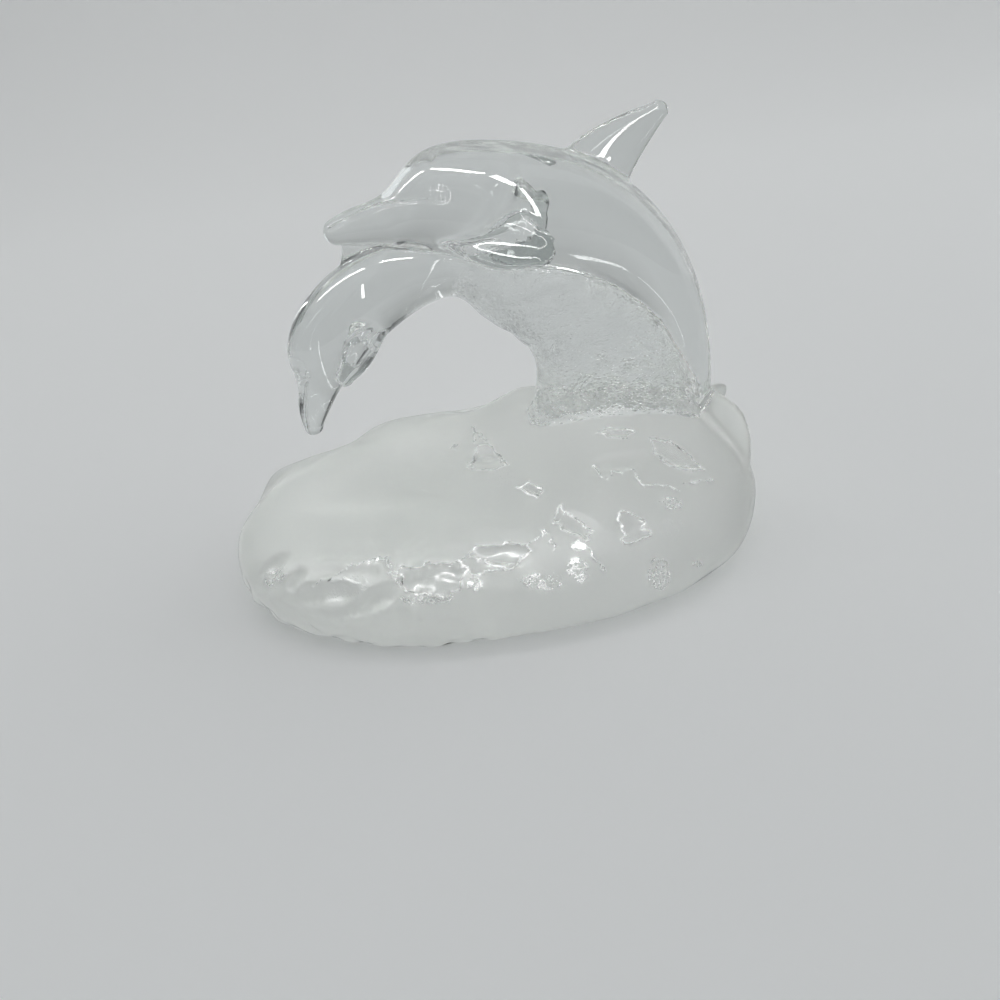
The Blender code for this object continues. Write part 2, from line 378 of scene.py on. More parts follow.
def bump(distance):
    """Smooth hill that is one at no distance and falls away evenly."""
    return np.exp(-distance * distance)


def sea_top(x, y):
    """Height of the sea before its shoulders round it off."""
    from_swell = np.hypot((x - SWELL_X) / SWELL_LENGTH, (y - LOWER_SET_BACK) / SWELL_DEPTH)
    height = SEA_HEIGHT + (SWELL_HEIGHT - SEA_HEIGHT) * bump(from_swell)
    for along, aside, rise, spread in SEA_CRESTS:
        away = np.hypot(x - along * HALF_LENGTH, y - aside * HALF_DEPTH)
        height = height + rise * bump(away / spread)
    return height


def sea_distance(points):
    x, y, z = points.T
    across = np.abs(x) / HALF_LENGTH + TINY
    aside = np.abs(y) / HALF_DEPTH + TINY
    plan = (across**PLAN_SQUARENESS + aside**PLAN_SQUARENESS)**(1 / PLAN_SQUARENESS)
    reach = np.where(z > WAIST_HEIGHT, sea_top(x, y) - WAIST_HEIGHT, UNDERSIDE_DROP)
    rise = np.abs(z - WAIST_HEIGHT) / reach + TINY
    level = plan**WALL_POWER + rise**TOP_POWER
    inward = plan**(1 - PLAN_SQUARENESS) * WALL_POWER * plan**(WALL_POWER - 1)
    steep = np.sqrt(
        (inward * across**(PLAN_SQUARENESS - 1) / HALF_LENGTH)**2
        + (inward * aside**(PLAN_SQUARENESS - 1) / HALF_DEPTH)**2
        + (TOP_POWER * rise**(TOP_POWER - 1) / reach)**2
    )
    return (level - 1) / (steep + TINY)


# %% [markdown]
# Glass that was poured and pressed is never quite even. A few waves of different directions,
# added together, give a soft unevenness that never repeats. The directions are turned by the
# golden angle, which spreads any number of them without a pattern.

# %% Make an unevenness out of waves
GOLDEN_ANGLE = math.pi * (3 - math.sqrt(5))
WAVES = 9
SHORTEST_WAVE = 0.75
LENGTH_SPREAD = 0.5
LENGTH_STRIDE = 7
LENGTH_START = 3
WAVE_SHIFT = 2.4


def unevenness(points, length, seed):
    """Sum of waves of about the given length, mostly between minus one and one."""
    total = 0
    for k in range(WAVES):
        up = 1 - (2 * k + 1) / WAVES
        flat = math.sqrt(1 - up * up)
        turn = GOLDEN_ANGLE * k + seed
        way = np.array((flat * math.cos(turn), flat * math.sin(turn), up))
        rank = (k * LENGTH_STRIDE + LENGTH_START) % WAVES
        stretch = length * (SHORTEST_WAVE + LENGTH_SPREAD * rank / WAVES)
        total = total + np.sin(points @ way * 2 * math.pi / stretch + WAVE_SHIFT * k + seed)
    return total * math.sqrt(2 / WAVES) / 2


def fade(value, low, high):
    """Zero below low, one above high and smooth between. Low may be the greater."""
    share = np.clip((value - low) / (high - low), 0, 1)
    return share * share * (3 - 2 * share)


# %% [markdown]
# The mould marked each animal with a mouth and an eye, and no more. The mouth is a groove at one
# reach round the leap, from the tip of the beak to the eye. The eye is a low boss in a ring.

# %% Carve the mouths and the eyes
Face = namedtuple("Face", "mouth_reach mouth_from mouth_to eye_angle eye_reach eye_radius")
UPPER_FACE = Face(1.033, 90.5, 114.0, 88.4, 1.050, 0.0019)
LOWER_FACE = Face(1.045, 158.0, 178.5, 154.5, 1.075, 0.0016)
MOUTH_WIDTH = 0.00055
MOUTH_DEPTH = 0.0008
EYE_RISE = 0.0006
EYE_RING = 0.35
EYE_RING_DEPTH = 0.6
MOUTH_ENDS = 2.0


def face_relief(points, body, face):
    """How far the face stands out from the body, on both sides of it."""
    angle, reach, _ = leap_place(points, body.centre)
    along = fade(angle, face.mouth_from - MOUTH_ENDS, face.mouth_from + MOUTH_ENDS)
    along = along * fade(angle, face.mouth_to + MOUTH_ENDS, face.mouth_to - MOUTH_ENDS)
    mouth = MOUTH_DEPTH * bump((reach - face.mouth_reach * body.leap) / MOUTH_WIDTH) * along
    turn = np.radians(angle - face.eye_angle) * reach
    from_eye = np.hypot(turn, reach - face.eye_reach * body.leap) / face.eye_radius
    ring = EYE_RISE * EYE_RING_DEPTH * bump((from_eye - 1) / EYE_RING)
    eye = EYE_RISE * bump(from_eye**2) - ring
    return eye - mouth


# %% [markdown]
# The near side of the sea was worked while the glass was soft. A leaf shaped hollow lies by the
# tail, a ledge steps down in front of the wave, a notch was pressed beside the swell, and the
# foot of the wall is dimpled. Places on the sea are given as seen from the front at a slant:
# how far along, and how high up the slope, which is height plus depth in one number.

# %% Shape the near side of the sea
Dent = namedtuple("Dent", "along up half_length half_width turn depth")
DENTS = (
    Dent(0.0630, 0.0120, 0.0110, 0.0065, -62, 0.0016),
    Dent(0.0440, 0.0100, 0.0120, 0.0050, 8, 0.0010),
    Dent(0.0000, 0.0290, 0.0075, 0.0060, -55, 0.0016),
    Dent(-0.0600, -0.0330, 0.0110, 0.0045, -15, 0.0022),
    Dent(-0.0770, -0.0150, 0.0080, 0.0040, 50, 0.0020),
    Dent(-0.0400, -0.0400, 0.0090, 0.0040, 30, 0.0018),
    Dent(-0.0680, -0.0240, 0.0050, 0.0026, 60, 0.0014),
    Dent(-0.0520, -0.0440, 0.0060, 0.0028, 10, 0.0014),
    Dent(-0.0230, -0.0360, 0.0110, 0.0060, 5, 0.0010),
    Dent(0.0250, -0.0190, 0.0085, 0.0045, -48, 0.0009),
    Dent(0.0430, -0.0240, 0.0060, 0.0050, -60, 0.0009),
    Dent(0.0010, -0.0300, 0.0100, 0.0050, 0, 0.0009),
)
DENT_EDGE = 4
WALL_LUMP = 0.0004
WALL_LUMP_LENGTH = 0.022
FOOT_LUMP = 0.0008
FOOT_LUMP_LENGTH = 0.0085
FOOT_FROM = -0.004
FOOT_TO = -0.026
FOOT_RIGHT = 0.020
FOOT_LEFT = -0.030
Lobe = namedtuple("Lobe", "place push spread")
LOBES = (
    Lobe((-0.090, 0.014, 0.021), -0.0018, 0.012),
    Lobe((-0.082, 0.028, 0.024), 0.0020, 0.009),
    Lobe((-0.058, 0.043, 0.027), -0.0026, 0.009),
    Lobe((-0.036, 0.046, 0.031), 0.0015, 0.011),
    Lobe((-0.001, 0.046, 0.035), -0.0036, 0.010),
    Lobe((0.009, 0.034, 0.043), -0.0018, 0.007),
    Lobe((0.022, 0.034, 0.045), -0.0014, 0.008),
    Lobe((-0.070, 0.0, 0.029), 0.0010, 0.014),
    Lobe((-0.052, -0.028, 0.027), 0.0008, 0.010),
    Lobe((0.080, -0.020, 0.022), 0.0012, 0.012),
)


def sea_place(points):
    """Distance along and up the slope, for what faces the front."""
    return points[:, 0], points[:, 1] + points[:, 2]


def dents(points):
    """How deep the pressed places go, zero on the far side and the underside."""
    along, up = sea_place(points)
    depth = 0
    for dent in DENTS:
        turn = math.radians(dent.turn)
        far = (along - dent.along) * math.cos(turn) + (up - dent.up) * math.sin(turn)
        wide = (up - dent.up) * math.cos(turn) - (along - dent.along) * math.sin(turn)
        away = np.hypot(far / dent.half_length, wide / dent.half_width)
        depth = depth + dent.depth * np.exp(-away**DENT_EDGE)
    return depth * fade(points[:, 2], WAIST_HEIGHT / 2, WAIST_HEIGHT)


def lobes(points):
    """How far the lobes push the skin out, and the dips between them pull it in."""
    push = 0
    for lobe in LOBES:
        away = np.linalg.norm(points - np.array(lobe.place), axis=1)
        push = push + lobe.push * bump(away / lobe.spread)
    return push


def worked_sea(points):
    shape = sea_distance(points) + dents(points) - lobes(points)
    along, up = sea_place(points)
    wall = fade(up, FOOT_FROM, FOOT_TO) * fade(along, FOOT_RIGHT, FOOT_LEFT)
    shape = shape + WALL_LUMP * unevenness(points, WALL_LUMP_LENGTH, 1.0)
    return shape + FOOT_LUMP * unevenness(points, FOOT_LUMP_LENGTH, 5.0) * wall


# %% [markdown]
# The mould left the wave icy, with lumps and chips. They could be a displacement texture, but in
# the rule they also bend the fillets round them. The wave swallows the rear of the lower dolphin,
# so the same lumps run over both.

# %% Roughen the wave
ICE_FROM = 92
ICE_TO = 78
ICE_LUMP = 0.00042
ICE_LUMP_LENGTH = 0.0075
ICE_CHIP = 0.00014
ICE_CHIP_LENGTH = 0.0032


def ice(points):
    lump = ICE_LUMP * unevenness(points, ICE_LUMP_LENGTH, 2.0)
    return lump + ICE_CHIP * unevenness(points, ICE_CHIP_LENGTH, 3.0)


def icy_lower_share(points):
    """One on the rear of the lower dolphin, which has turned into wave, and zero on its front."""
    angle, _, _ = leap_place(points, LOWER.centre)
    return fade(angle, ICE_FROM, ICE_TO)


# %% [markdown]
# Acid dulls the sea, but it creeps unevenly: drops of resist leave bright windows with beaded
# rims, and the beads glitter. Each rim is a short outline, closed where it fences a window and
# open where it is only a trail of beads. Its corners are chosen in the camera's frame, in
# thousandths from the top left, and a line of sight through each one finds its place on the sea.

# %% Choose the corners of the windows in the camera's frame
Rim = namedtuple("Rim", "corners closed")
RIMS = (
    Rim(((472, 427), (492, 447), (508, 465), (498, 468), (484, 470), (468, 467), (477, 452)), True),
    Rim(((520, 487), (527, 482), (535, 485), (543, 490), (538, 497), (530, 494)), True),
    Rim(((553, 519), (560, 505), (572, 516), (589, 527), (588, 541), (575, 535), (562, 528)), True),
    Rim(((588, 547), (596, 560), (604, 572)), False),
    Rim(((528, 548), (531, 543), (545, 531), (551, 540), (556, 550)), False),
    Rim(((470, 553), (476, 547), (500, 544), (528, 544), (529, 552), (512, 570), (497, 564),
         (485, 561)), True),
    Rim(((458, 561), (470, 553), (485, 561), (508, 568), (475, 574), (468, 570)), True),
    Rim(((398, 567), (420, 566), (440, 563), (458, 561), (466, 570), (460, 590), (445, 598),
         (420, 595), (405, 590)), True),
    Rim(((313, 585), (335, 576), (350, 567), (370, 560), (380, 557)), False),
    Rim(((620, 513), (630, 512), (641, 518), (645, 527), (652, 533), (640, 540), (626, 545),
         (622, 538), (625, 535), (619, 522)), True),
    Rim(((650, 438), (665, 438), (680, 445), (690, 455), (703, 469), (690, 469), (672, 466),
         (662, 460), (655, 450)), True),
    Rim(((632, 469), (636, 477), (645, 486), (655, 484), (665, 486), (680, 491)), False),
    Rim(((682, 485), (700, 481), (712, 480)), False),
    Rim(((597, 432), (610, 428), (635, 430), (625, 437), (608, 437)), True),
    Rim(((593, 465), (600, 475), (608, 480), (612, 470), (622, 474)), False),
    Rim(((600, 415), (607, 413), (615, 416)), False),
)
FRAME_SIZE = 1000
SIGHT_FROM = 0.18
SIGHT_TO = 0.62
SIGHT_STEP = 0.0005


def place_seen(corner):
    """Place on the sea, along and up the slope, that the camera sees at a point of its frame."""
    stand = camera_stand()
    ahead = CAMERA_LENS / CAMERA_SENSOR * FRAME_SIZE
    right = corner[0] - FRAME_SIZE / 2
    down = corner[1] - FRAME_SIZE / 2
    sight = unit(np.array(stand.to_3x3() @ Vector((right, -down, -ahead))))
    reach = np.arange(SIGHT_FROM, SIGHT_TO, SIGHT_STEP)
    points = np.array(stand.translation) + reach[:, None] * sight
    level = sea_distance(points)
    first = int(np.argmax(level < 0))
    share = level[first - 1] / (level[first - 1] - level[first])
    met = points[first - 1] + share * (points[first] - points[first - 1])
    return met[0], met[1] + met[2]


RIM_PLACES = [np.array([place_seen(corner) for corner in rim.corners]) for rim in RIMS]
print("rims with", sum(len(places) for places in RIM_PLACES), "corners found on the sea")

# %% Lay out the rims and the rashes of beads
Rash = namedtuple("Rash", "along up half_length half_width turn density")
RASHES = (
    Rash(0.0500, -0.0455, 0.0042, 0.0068, 0, 1.0),
    Rash(0.0238, -0.0410, 0.0036, 0.0056, 10, 1.0),
    Rash(0.0120, -0.0440, 0.0080, 0.0040, -20, 0.55),
    Rash(-0.0110, 0.0416, 0.0018, 0.0022, 0, 1.0),
    Rash(0.0040, 0.0130, 0.0060, 0.0050, -40, 0.35),
    Rash(-0.0395, -0.0220, 0.0042, 0.0018, 0, 0.9),
    Rash(-0.0345, -0.0300, 0.0016, 0.0080, 15, 0.8),
    Rash(-0.0250, -0.0440, 0.0100, 0.0022, -12, 0.9),
    Rash(-0.0500, -0.0330, 0.0085, 0.0060, 0, 0.35),
    Rash(-0.0090, -0.0410, 0.0026, 0.0036, 0, 0.8),
    Rash(0.0575, -0.0145, 0.0045, 0.0032, -20, 0.7),
    Rash(0.0560, -0.0260, 0.0050, 0.0050, 0, 0.3),
    Rash(0.0255, -0.0300, 0.0030, 0.0030, 0, 0.9),
    Rash(0.0640, -0.0420, 0.0020, 0.0016, 0, 0.8),
    Rash(-0.0760, -0.0190, 0.0060, 0.0060, 0, 0.45),
)
RASH_ENDS = 1.15
RASH_FULL = 0.7
SKIN_DEPTH = 0.0020
RIM_LOWEST = WAIST_HEIGHT / 3
RIM_FURTHEST = 0.045
RIM_HEIGHT = 0.00022
RIM_WIDTH = 0.00034
RIM_WOBBLE = 0.0007
RIM_WOBBLE_LENGTH = 0.0042


def distance_to_rims(places):
    """Shortest way from places on the sea to any rim, and whether they are inside a window."""
    nearest = np.full(len(places), 1.0)
    inside = np.zeros(len(places), bool)
    upright = np.column_stack((places, np.zeros(len(places))))
    sway = [unevenness(upright, RIM_WOBBLE_LENGTH, seed) for seed in (7.0, 8.0)]
    places = places + RIM_WOBBLE * np.stack(sway, 1)
    for rim, corners in zip(RIMS, RIM_PLACES):
        ends = np.roll(corners, -1, axis=0)
        if not rim.closed:
            corners, ends = corners[:-1], ends[:-1]
        fenced = np.zeros(len(places), bool)
        for corner, end in zip(corners, ends):
            way = end - corner
            away = places - corner
            share = np.clip(away @ way / way.dot(way), 0, 1)
            nearest = np.minimum(nearest, np.hypot(*(away - share[:, None] * way).T))
            crossed = (corner[1] > places[:, 1]) != (end[1] > places[:, 1])
            rise = way[1] if way[1] else TINY
            fenced ^= crossed & (away[:, 0] < way[0] * away[:, 1] / rise)
        if rim.closed:
            inside |= fenced
    return nearest, inside


def rash_density(places):
    """How thickly the beads are scattered, from zero to one."""
    density = np.zeros(len(places))
    for rash in RASHES:
        turn = math.radians(rash.turn)
        along = places[:, 0] - rash.along
        up = places[:, 1] - rash.up
        far = (along * math.cos(turn) + up * math.sin(turn)) / rash.half_length
        wide = (up * math.cos(turn) - along * math.sin(turn)) / rash.half_width
        share = fade(np.hypot(far, wide), RASH_ENDS, RASH_FULL)
        density = np.maximum(density, rash.density * share)
    return density


def sea_front(points, shape):
    """True for points near the sea's skin that face the front, given their distances to it."""
    return (np.abs(shape) < SKIN_DEPTH) & (points[:, 2] > RIM_LOWEST) & (points[:, 1] < RIM_FURTHEST)


def rimmed_sea(points):
    """Distance to the sea with its rims standing out as thin ridges."""
    shape = worked_sea(points)
    front = sea_front(points, shape)
    places = np.stack(sea_place(points[front]), 1)
    shape[front] -= RIM_HEIGHT * bump(distance_to_rims(places)[0] / RIM_WIDTH)
    return shape


# %% [markdown]
# Two skins are melted together by a smooth minimum: where they are within a fillet's width of
# each other the lower distance is lowered further. A fin gets a tight fillet and a crisp root,
# and the wave runs into the sea in a wide one.

# %% Melt the forms into one skin
FIN_FILLET = 0.0025
BODY_FILLET = 0.0040
WAVE_FILLET = 0.0040
SEA_FILLET = 0.0050
SIDES = (-1, 1)


def melt(one, other, fillet):
    """Smooth minimum of two distances."""
    close = np.maximum(fillet - np.abs(one - other), 0) / fillet
    return np.minimum(one, other) - close**3 * fillet / 6


def casting_distance(points):
    icy = ice(points)
    upper = body_distance(points, UPPER) - face_relief(points, UPPER, UPPER_FACE)
    lower = body_distance(points, LOWER) - face_relief(points, LOWER, LOWER_FACE)
    lower = lower + icy * icy_lower_share(points)
    upper = melt(upper, fin_distance(points, UPPER_DORSAL, UPPER, 1), FIN_FILLET)
    lower = melt(lower, fin_distance(points, LOWER_DORSAL, LOWER, 1), FIN_FILLET)
    for side in SIDES:
        upper = melt(upper, fin_distance(points, UPPER_FLIPPER, UPPER, side), FIN_FILLET)
        lower = melt(lower, fin_distance(points, LOWER_FLIPPER, LOWER, side), FIN_FILLET)
    wave = wave_distance(points) + icy
    figure = melt(melt(upper, lower, BODY_FILLET), wave, WAVE_FILLET)
    for side in SIDES:
        figure = melt(figure, fin_distance(points, FLUKE, UPPER, side), FIN_FILLET)
    return melt(figure, rimmed_sea(points), SEA_FILLET)


# %% [markdown]
# The measured solid is already close to this skin, so it is the clay to start from. A voxel
# remesh gives it an even coat of small faces, the underside is sawn flat, and each point is then
# slid down the slope of the distance until it lies on the true skin.

# %% Make the even coat of faces
CELL = 0.0014
SAW_ALLOWANCE = 0.003
WELD = 1e-6
ON_TABLE = 1e-5


def even_coat():
    """Copy the measured solid, deepen its underside and cover it with small even faces."""
    clay = bpy.data.objects.new("clay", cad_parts[CAST_NODE].data.copy())
    bpy.context.scene.collection.objects.link(clay)
    bm = bmesh.new()
    bm.from_mesh(clay.data)
    bmesh.ops.remove_doubles(bm, verts=bm.verts, dist=WELD)
    for vert in bm.verts:
        if vert.co.z < ON_TABLE:
            vert.co.z = -SAW_ALLOWANCE
    bm.to_mesh(clay.data)
    bm.free()
    skin = clay.modifiers.new("coat", "REMESH")
    skin.mode = "VOXEL"
    skin.voxel_size = CELL
    graph = bpy.context.evaluated_depsgraph_get()
    coated = bpy.data.meshes.new_from_object(clay.evaluated_get(graph))
    bpy.data.objects.remove(clay, do_unlink=True)
    bm = bmesh.new()
    bm.from_mesh(coated)
    everything = bm.verts[:] + bm.edges[:] + bm.faces[:]
    cut = bmesh.ops.bisect_plane(
        bm, geom=everything, plane_co=(0, 0, 0), plane_no=(0, 0, -1), clear_outer=True
    )
    rim = [item for item in cut["geom_cut"] if isinstance(item, bmesh.types.BMEdge)]
    bmesh.ops.contextual_create(bm, geom=rim)
    bmesh.ops.triangulate(bm, faces=bm.faces)
    bmesh.ops.recalc_face_normals(bm, faces=bm.faces)
    bm.to_mesh(coated)
    bm.free()
    return coated


coat = even_coat()
print("coat of", len(coat.polygons), "faces")

# %% [markdown]
# Beads and mouths are finer than this coat, and glass shows the facets of its far side too. So
# faces are split once near the fins, the mouths, the shoulders and the rims, and once more at the
# rims and the upper mouth, and the count stays low where nothing happens.

# %% Split the faces where the detail is
RIM_BAND = 0.0011
FIN_BAND = 0.0022
SHOULDERS_FROM = 62
SHOULDERS_TO = 112
FACE_BAND = 0.0032
BEFORE_MOUTH = 6
PAST_MOUTH = 2


def on_body(points, body):
    """True close to the skin of a body."""
    return np.abs(body_distance(points, body)) < SKIN_DEPTH


def near_mouth(points, body, face):
    """True on the skin of a body along its mouth."""
    angle, reach, _ = leap_place(points, body.centre)
    along = (angle > face.mouth_from - BEFORE_MOUTH) & (angle < face.mouth_to + PAST_MOUTH)
    close = np.abs(reach - face.mouth_reach * body.leap) < FACE_BAND
    return along & close & on_body(points, body)


def on_shoulders(points):
    """True on the upper dolphin between its back fin and its beak."""
    angle, _, _ = leap_place(points, UPPER.centre)
    return on_body(points, UPPER) & (angle > SHOULDERS_FROM) & (angle < SHOULDERS_TO)


def near_fins(points):
    """True close to the thin fins, whose edges need finer faces."""
    fins = [(UPPER_DORSAL, UPPER, 1), (LOWER_DORSAL, LOWER, 1)]
    for side in SIDES:
        fins += [(UPPER_FLIPPER, UPPER, side), (LOWER_FLIPPER, LOWER, side), (FLUKE, UPPER, side)]
    near = np.zeros(len(points), bool)
    for fin, body, side in fins:
        near |= np.abs(fin_distance(points, fin, body, side)) < FIN_BAND
    return near


def split_faces(mesh, wanted):
    """Split every face whose corners are all wanted, and leave only triangles."""
    bm = bmesh.new()
    bm.from_mesh(mesh)
    bm.verts.ensure_lookup_table()
    faces = [face for face in bm.faces if all(wanted[vert.index] for vert in face.verts)]
    edges = {edge for face in faces for edge in face.edges}
    bmesh.ops.subdivide_edges(bm, edges=list(edges), cuts=1)
    bmesh.ops.triangulate(bm, faces=[face for face in bm.faces if len(face.verts) > 3])
    bm.to_mesh(mesh)
    bm.free()


def points_of(mesh):
    points = np.empty(3 * len(mesh.vertices))
    mesh.vertices.foreach_get("co", points)
    return points.reshape(-1, 3)


def rim_band(points, width):
    """True within a width of any rim."""
    band = np.zeros(len(points), bool)
    front = sea_front(points, worked_sea(points))
    places = np.stack(sea_place(points[front]), 1)
    band[front] = distance_to_rims(places)[0] < width
    return band


points = points_of(coat)
fine = near_mouth(points, UPPER, UPPER_FACE) | near_mouth(points, LOWER, LOWER_FACE)
split_faces(coat, fine | on_shoulders(points) | near_fins(points) | rim_band(points, 2 * RIM_BAND))
points = points_of(coat)
split_faces(coat, rim_band(points, RIM_BAND) | near_mouth(points, UPPER, UPPER_FACE))
print("coat of", len(coat.polygons), "faces after splitting")

# %% [markdown]
# A distance changes fastest straight off the skin, so its slope is the true normal. Sliding each
# point down that slope by its own distance, a few times over, lands it on the skin. The sawn rim
# may only slide along the table.

# %% Slide the coat onto the skin
SLOPE_REACH = 1e-5
LONGEST_SLIDE = 0.0008
SLIDES = 5


def slope(points, level):
    """Direction in which the distance grows, found by stepping a little along each axis."""
    grown = [casting_distance(points + SLOPE_REACH * axis) - level for axis in np.eye(3)]
    return np.stack(grown, 1) / SLOPE_REACH


def slide_onto_skin(mesh):
    points = points_of(mesh)
    sawn = points[:, 2] < ON_TABLE
    for _ in range(SLIDES):
        level = casting_distance(points)
        way = slope(points, level)
        way[sawn, 2] = 0
        step = way * (level / np.maximum((way**2).sum(1), TINY))[:, None]
        length = np.linalg.norm(step, axis=1)
        step *= np.minimum(1, LONGEST_SLIDE / np.maximum(length, TINY))[:, None]
        points = points - step
        points[:, 2] = np.maximum(points[:, 2], 0)
    mesh.vertices.foreach_set("co", points.ravel())
    mesh.update()
    level = casting_distance(points)
    print("furthest left from the skin", round(1000 * np.abs(level).max(), 3), "mm")
    return points, slope(points, level)


points, slopes = slide_onto_skin(coat)

# %% [markdown]
# Smooth shading blends face normals, which leaves faint facets in a reflection. The slope gives
# the exact normal, so it is written into the mesh. The sawn underside keeps its own flat one.

# %% Give the mesh its true normals
FACING_DOWN = -0.99


def give_true_normals(mesh, slopes):
    normals = slopes / np.linalg.norm(slopes, axis=1)[:, None]
    corners = np.empty(len(mesh.loops), int)
    mesh.loops.foreach_get("vertex_index", corners)
    heights = np.array([face.normal.z for face in mesh.polygons])
    centres = np.array([face.center.z for face in mesh.polygons])
    sawn_faces = (heights < FACING_DOWN) & (centres < ON_TABLE)
    sizes = np.array([face.loop_total for face in mesh.polygons])
    sawn_corners = np.repeat(sawn_faces, sizes)
    corner_normals = normals[corners]
    corner_normals[sawn_corners] = (0, 0, -1)
    mesh.polygons.foreach_set("use_smooth", np.ones(len(mesh.polygons), bool))
    mesh.normals_split_custom_set(corner_normals.tolist())
    print(int(sawn_faces.sum()), "faces stay flat on the table")


give_true_normals(coat, slopes)

# %% [markdown]
# The finish changes over one unbroken surface, so masks are painted on the points. Frost lies on
# the sea and on the flukes that break from it, ice on the wave, and both fade out where the
# polished bodies rise. Windows and beads are painted over the frost.

# %% Paint the masks of the finish
FADE = 0.0025
BEAD_WIDTH = 0.00030
CREST_FROM = 0.062
CREST_TO = 0.078


def paint(mesh, name, values):
    layer = mesh.attributes.new(name, "FLOAT", "POINT")
    layer.data.foreach_set("value", values.astype(np.float32))


def polished_distance(points):
    """Distance to the nearest polished form: the two bodies, the back fins and the flippers."""
    parts = [body_distance(points, UPPER)]
    parts.append(body_distance(points, LOWER) + 2 * FADE * icy_lower_share(points))
    parts.append(fin_distance(points, UPPER_DORSAL, UPPER, 1))
    parts.append(fin_distance(points, LOWER_DORSAL, LOWER, 1))
    for side in SIDES:
        parts.append(fin_distance(points, UPPER_FLIPPER, UPPER, side))
        parts.append(fin_distance(points, LOWER_FLIPPER, LOWER, side))
    return np.min(parts, axis=0)


def paint_finish(mesh, points):
    sea = worked_sea(points)
    to_sea = np.min([sea] + [fin_distance(points, FLUKE, UPPER, side) for side in SIDES], axis=0)
    icy = ice(points)
    lower = body_distance(points, LOWER) + icy * icy_lower_share(points)
    to_wave = np.minimum(wave_distance(points) + icy, lower)
    to_polish = polished_distance(points)
    frost = fade(np.minimum(to_polish, to_wave) - to_sea, 0, FADE)
    iced = fade(to_polish - to_wave, 0, FADE) * (1 - frost)
    haze = iced * fade(points[:, 2], CREST_FROM, CREST_TO)
    front = sea_front(points, sea)
    places = np.stack(sea_place(points[front]), 1)
    to_rim, inside = distance_to_rims(places)
    window, bead, rash = np.zeros((3, len(points)))
    window[front] = inside
    bead[front] = bump(to_rim / BEAD_WIDTH)
    rash[front] = rash_density(places)
    masks = {"frost": frost, "ice": iced, "haze": haze}
    masks.update({"window": window * frost, "bead": bead * frost, "rash": rash * frost})
    for name, values in masks.items():
        paint(mesh, name, values)
        print(name, "covers", round(float(values.mean()), 3))


paint_finish(coat, points)

# %% [markdown]
# Finishes are node groups, so that one rule serves every place that needs it. The first group
# turns a mask into a roughness and a fine grain, which is what acid leaves on glass.

# %% Build the groups of the finish
def new_group(name, inputs, outputs):
    """Empty node group with named float sockets, given as (name, default) pairs."""
    group = bpy.data.node_groups.new(name, "ShaderNodeTree")
    for title, value in inputs:
        socket = group.interface.new_socket(title, in_out="INPUT", socket_type="NodeSocketFloat")
        socket.default_value = value
    for title in outputs:
        group.interface.new_socket(title, in_out="OUTPUT", socket_type="NodeSocketFloat")
    return group, group.nodes.new("NodeGroupInput"), group.nodes.new("NodeGroupOutput")


def maths(tree, operation, *values):
    """Math node on sockets or plain numbers, with the result's socket returned."""
    node = tree.nodes.new("ShaderNodeMath")
    node.operation = operation
    for socket, value in zip(node.inputs, values):
        if isinstance(value, (int, float)):
            socket.default_value = value
        else:
            tree.links.new(value, socket)
    return node.outputs[0]


def noise(tree, scale, detail):
    node = tree.nodes.new("ShaderNodeTexNoise")
    node.inputs["Scale"].default_value = scale
    node.inputs["Detail"].default_value = detail
    place = tree.nodes.new("ShaderNodeTexCoord").outputs["Object"]
    tree.links.new(place, node.inputs["Vector"])
    return node.outputs["Fac"]


def blended(tree, share, one, other):
    """Value between one and other."""
    node = tree.nodes.new("ShaderNodeMix")
    node.data_type = "FLOAT"
    for socket, value in zip((node.inputs[0], node.inputs[2], node.inputs[3]), (share, one, other)):
        if isinstance(value, (int, float)):
            socket.default_value = value
        else:
            tree.links.new(value, socket)
    return node.outputs[0]


def mixed_colour(tree, share, one, other):
    """Colour between two colours, each a plain triple or a socket."""
    mix = tree.nodes.new("ShaderNodeMix")
    mix.data_type = "RGBA"
    tree.links.new(share, mix.inputs["Factor"])
    for name, colour in (("A", one), ("B", other)):
        socket = next(item for item in mix.inputs if item.name == name and item.type == "RGBA")
        if isinstance(colour, tuple):
            socket.default_value = (*colour, 1)
        else:
            tree.links.new(colour, socket)
    return next(item for item in mix.outputs if item.type == "RGBA")


def stepped(tree, value, low, high):
    """Smooth step of a socket from low to high."""
    node = tree.nodes.new("ShaderNodeMapRange")
    node.interpolation_type = "SMOOTHSTEP"
    node.inputs["From Min"].default_value = low
    node.inputs["From Max"].default_value = high
    tree.links.new(value, node.inputs["Value"])
    return node.outputs["Result"]


GRAIN_SCALE = 900
BEAD_SCALE = 1200
BREAK_SCALE = 420
RIPPLE_SCALE = 230
CHIP_SCALE = 900
ICE_DETAIL = 2
POLISH_ROUGHNESS = 0.01
FROST_ROUGHNESS = 0.40
DOME_FOOT = 0.55
DOME_TOP = 0.05
BREAK_FROM = 0.36
BREAK_TO = 0.50
BREAK_LEFT = 0.35
SCATTER_FROM = 0.50
SCATTER_TO = 0.56


